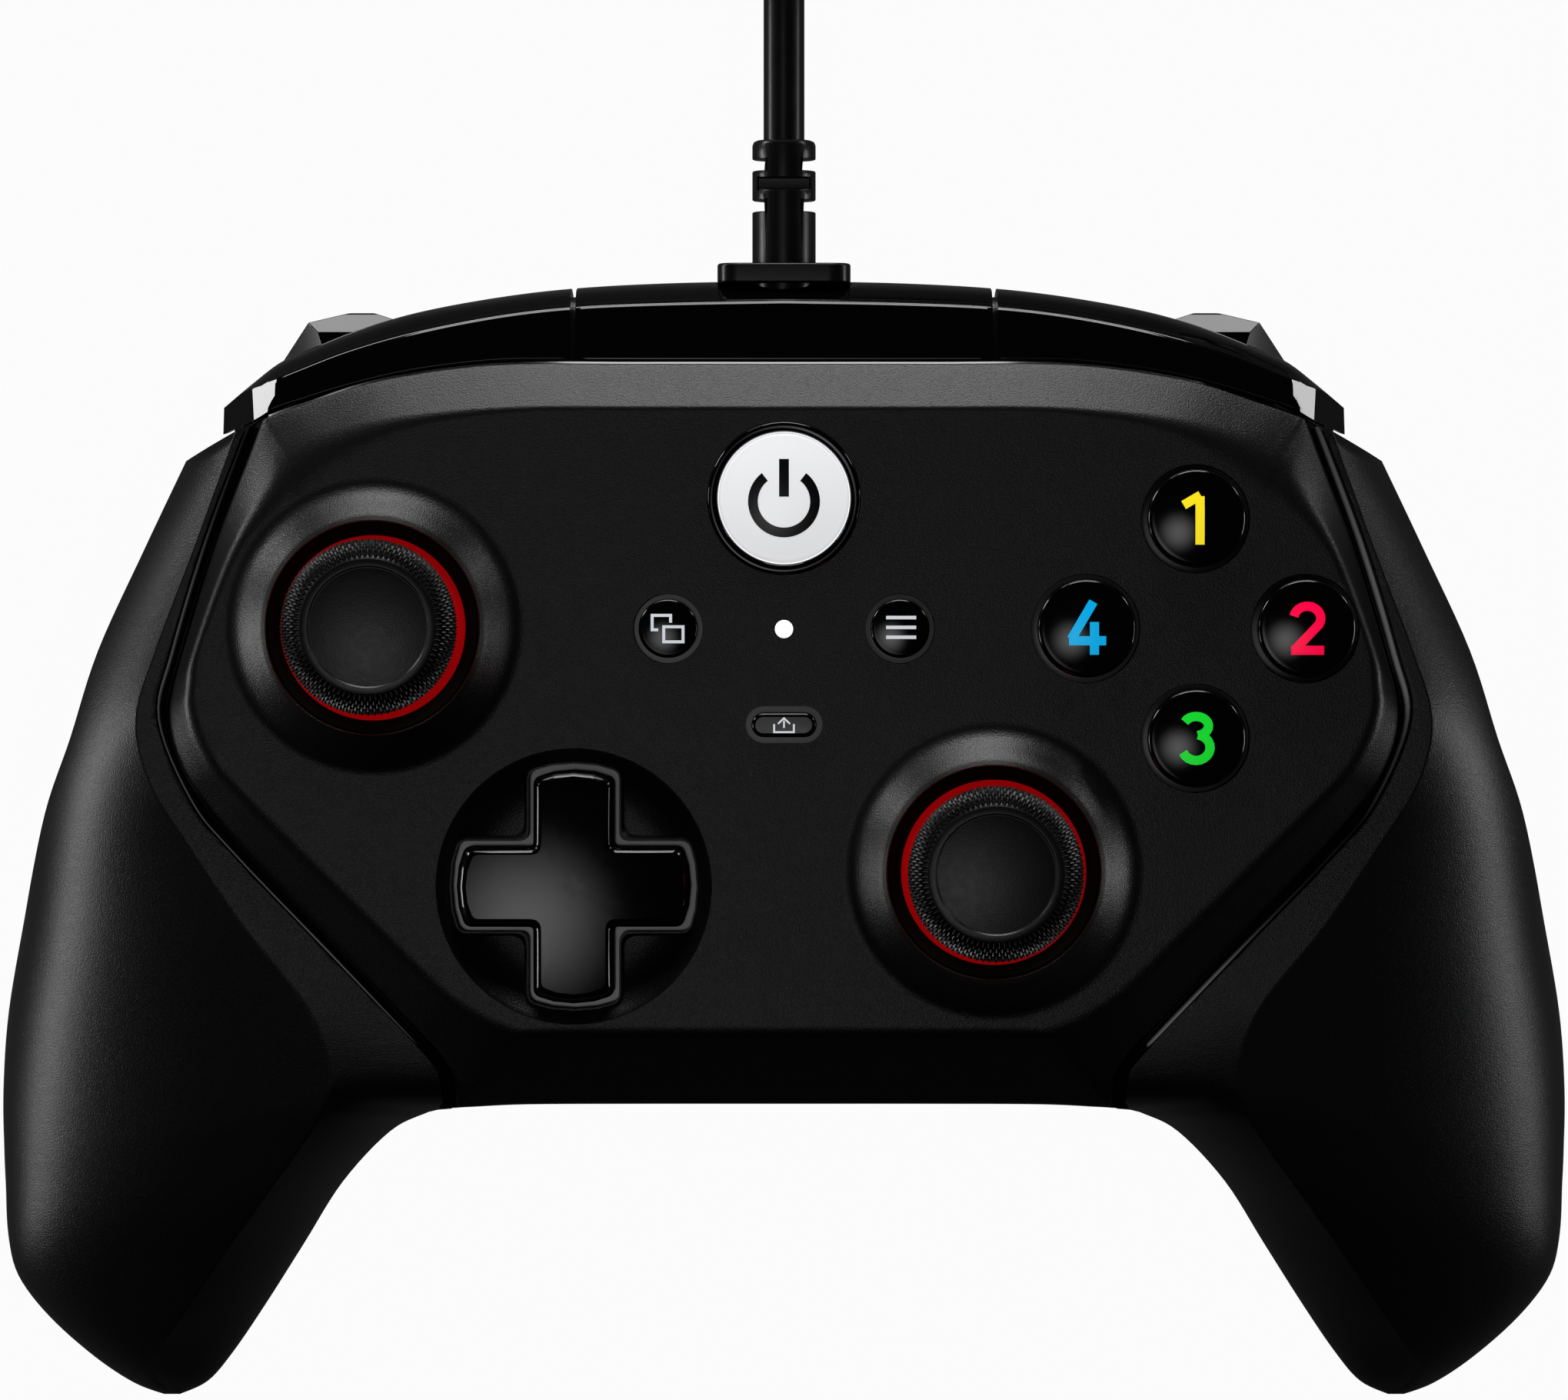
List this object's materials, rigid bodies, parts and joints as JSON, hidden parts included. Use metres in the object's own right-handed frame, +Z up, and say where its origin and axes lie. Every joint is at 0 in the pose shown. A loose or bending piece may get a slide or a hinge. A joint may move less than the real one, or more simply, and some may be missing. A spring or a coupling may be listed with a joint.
{
  "type": "wired gamepad controller",
  "caption": "Two-handed wired game controller with tilting thumbsticks, directional pad, push buttons, hinged bumpers and triggers, sculpted grips and a coiled cable.",
  "frame": {"origin": "middle of the body's box at the level of the table it lies on, cable left out", "axes": "+X to the right grip, +Y to the cable, +Z up out of the face"},
  "size_m": [0.1552, 0.2528, 0.057],
  "materials": {
    "shell": "fine grain, black",
    "gloss_black": "polished black",
    "inner_black": "plain moulded black",
    "red": "satin red",
    "soft_black": "soft touch",
    "membrane": "silicone",
    "board": "solder mask",
    "steel": "plated",
    "white": "translucent white",
    "cable": "smooth sheath"
  },
  "bodies": {
    "housing": {"front_shell": "shell", "rear_cover": "shell", "left_grip": "shell", "right_grip": "shell", "left_seam_trim": "gloss_black", "right_seam_trim": "gloss_black", "shoulder_bridge": "gloss_black", "mid_frame": "inner_black", "main_board": "board", "button_membrane": "membrane", "pad_membrane": "membrane", "pad_mount": "inner_black", "left_stick_ring": "gloss_black", "right_stick_ring": "gloss_black", "left_stick_module": "inner_black", "right_stick_module": "inner_black", "guide_bezel": "gloss_black", "status_light": "white", "usb_socket": "steel", "headset_jack": "inner_black", "housing_screws": "steel", "trigger_pins": "steel", "bumper_pins": "steel", "bumper_switches": "inner_black", "left_rumble_motor": "steel", "right_rumble_motor": "steel", "cable_plug": "cable", "cable_lead": "cable", "cable_coil": "cable", "cable_tie": "cable", "cable_tail": "cable", "usb_plug": "cable"},
    "left_bumper_body": {"left_bumper": "gloss_black"},
    "left_trigger_body": {"left_trigger": "gloss_black"},
    "left_yoke_body": {"left_stick_yoke": "inner_black"},
    "left_cradle_body": {"left_stick_cradle": "inner_black"},
    "left_stick_body": {"left_stick_post": "red", "left_stick_cap": "soft_black"},
    "left_weight_body": {"left_rumble_weight": "steel"},
    "left_rear_body": {"left_rear_button": "gloss_black"},
    "right_bumper_body": {"right_bumper": "gloss_black"},
    "right_trigger_body": {"right_trigger": "gloss_black"},
    "right_yoke_body": {"right_stick_yoke": "inner_black"},
    "right_cradle_body": {"right_stick_cradle": "inner_black"},
    "right_stick_body": {"right_stick_post": "red", "right_stick_cap": "soft_black"},
    "right_weight_body": {"right_rumble_weight": "steel"},
    "right_rear_body": {"right_rear_button": "gloss_black"},
    "north_body": {"north_button": "gloss_black"},
    "east_body": {"east_button": "gloss_black"},
    "south_body": {"south_button": "gloss_black"},
    "west_body": {"west_button": "gloss_black"},
    "view_body": {"view_button": "gloss_black"},
    "menu_body": {"menu_button": "gloss_black"},
    "share_body": {"share_button": "gloss_black"},
    "guide_body": {"guide_button": "white"},
    "pad_carrier_body": {"pad_carrier": "inner_black"},
    "pad_cross_body": {"pad_cross": "gloss_black"}
  },
  "joints": [
    {"name": "left_bumper_press", "type": "hinge", "parent": "housing", "child": "left_bumper_body", "pos_m": [-0.0375, 0.0425, 0.036], "axis": [-0.9903, -0.1392, 0], "range_deg": [0, 4], "stiffness_Nm_per_rad": 0.25, "springref_deg": -6.88},
    {"name": "left_trigger_pull", "type": "hinge", "parent": "housing", "child": "left_trigger_body", "pos_m": [-0.038, 0.042, 0.023], "axis": [-1, 0, 0], "range_deg": [0, 17], "stiffness_Nm_per_rad": 0.12, "springref_deg": -11.46},
    {"name": "left_stick_forward", "type": "hinge", "parent": "housing", "child": "left_yoke_body", "pos_m": [-0.0396, 0.02075, 0.0365], "axis": [1, 0, 0], "range_deg": [-18, 18], "stiffness_Nm_per_rad": 0.05},
    {"name": "left_stick_sideways", "type": "hinge", "parent": "left_yoke_body", "child": "left_cradle_body", "pos_m": [-0.0396, 0.02075, 0.0365], "axis": [0, 1, 0], "range_deg": [-18, 18], "stiffness_Nm_per_rad": 0.05},
    {"name": "left_stick_click", "type": "slide", "parent": "left_cradle_body", "child": "left_stick_body", "axis": [0, 0, -1], "range_m": [0, 0.0006], "stiffness_N_per_m": 3000, "springref_m": -0.0008},
    {"name": "left_rumble_spin", "type": "hinge", "parent": "housing", "child": "left_weight_body", "pos_m": [-0.062, -0.0285, 0.02], "axis": [0, 1, 0], "continuous": true},
    {"name": "left_rear_press", "type": "slide", "parent": "housing", "child": "left_rear_body", "axis": [0.3746, 0, 0.9272], "range_m": [0, 0.0008], "stiffness_N_per_m": 1500, "springref_m": -0.0006},
    {"name": "right_bumper_press", "type": "hinge", "parent": "housing", "child": "right_bumper_body", "pos_m": [0.0375, 0.0425, 0.036], "axis": [-0.9903, 0.1392, 0], "range_deg": [0, 4], "stiffness_Nm_per_rad": 0.25, "springref_deg": -6.88},
    {"name": "right_trigger_pull", "type": "hinge", "parent": "housing", "child": "right_trigger_body", "pos_m": [0.038, 0.042, 0.023], "axis": [-1, 0, 0], "range_deg": [0, 17], "stiffness_Nm_per_rad": 0.12, "springref_deg": -11.46},
    {"name": "right_stick_forward", "type": "hinge", "parent": "housing", "child": "right_yoke_body", "pos_m": [0.0202, -0.0028, 0.0365], "axis": [1, 0, 0], "range_deg": [-18, 18], "stiffness_Nm_per_rad": 0.05},
    {"name": "right_stick_sideways", "type": "hinge", "parent": "right_yoke_body", "child": "right_cradle_body", "pos_m": [0.0202, -0.0028, 0.0365], "axis": [0, 1, 0], "range_deg": [-18, 18], "stiffness_Nm_per_rad": 0.05},
    {"name": "right_stick_click", "type": "slide", "parent": "right_cradle_body", "child": "right_stick_body", "axis": [0, 0, -1], "range_m": [0, 0.0006], "stiffness_N_per_m": 3000, "springref_m": -0.0008},
    {"name": "right_rumble_spin", "type": "hinge", "parent": "housing", "child": "right_weight_body", "pos_m": [0.062, -0.0285, 0.02], "axis": [0, 1, 0], "continuous": true},
    {"name": "right_rear_press", "type": "slide", "parent": "housing", "child": "right_rear_body", "axis": [-0.3746, 0, 0.9272], "range_m": [0, 0.0008], "stiffness_N_per_m": 1500, "springref_m": -0.0006},
    {"name": "north_press", "type": "slide", "parent": "housing", "child": "north_body", "axis": [0, 0, -1], "range_m": [0, 0.0013], "stiffness_N_per_m": 500, "springref_m": -0.0008},
    {"name": "east_press", "type": "slide", "parent": "housing", "child": "east_body", "axis": [0, 0, -1], "range_m": [0, 0.0013], "stiffness_N_per_m": 500, "springref_m": -0.0008},
    {"name": "south_press", "type": "slide", "parent": "housing", "child": "south_body", "axis": [0, 0, -1], "range_m": [0, 0.0013], "stiffness_N_per_m": 500, "springref_m": -0.0008},
    {"name": "west_press", "type": "slide", "parent": "housing", "child": "west_body", "axis": [0, 0, -1], "range_m": [0, 0.0013], "stiffness_N_per_m": 500, "springref_m": -0.0008},
    {"name": "view_press", "type": "slide", "parent": "housing", "child": "view_body", "axis": [0, 0, -1], "range_m": [0, 0.0004], "stiffness_N_per_m": 1500, "springref_m": -0.0006},
    {"name": "menu_press", "type": "slide", "parent": "housing", "child": "menu_body", "axis": [0, 0, -1], "range_m": [0, 0.0004], "stiffness_N_per_m": 1500, "springref_m": -0.0006},
    {"name": "share_press", "type": "slide", "parent": "housing", "child": "share_body", "axis": [0, 0, -1], "range_m": [0, 0.0004], "stiffness_N_per_m": 1500, "springref_m": -0.0006},
    {"name": "guide_press", "type": "slide", "parent": "housing", "child": "guide_body", "axis": [0, 0, -1], "range_m": [0, 0.0005], "stiffness_N_per_m": 1500, "springref_m": -0.0006},
    {"name": "pad_up_down", "type": "hinge", "parent": "housing", "child": "pad_carrier_body", "pos_m": [-0.0203, -0.0042, 0.037], "axis": [1, 0, 0], "range_deg": [-4, 4], "stiffness_Nm_per_rad": 0.3},
    {"name": "pad_left_right", "type": "hinge", "parent": "pad_carrier_body", "child": "pad_cross_body", "pos_m": [-0.0203, -0.0042, 0.037], "axis": [0, 1, 0], "range_deg": [-4, 4], "stiffness_Nm_per_rad": 0.3}
  ]
}
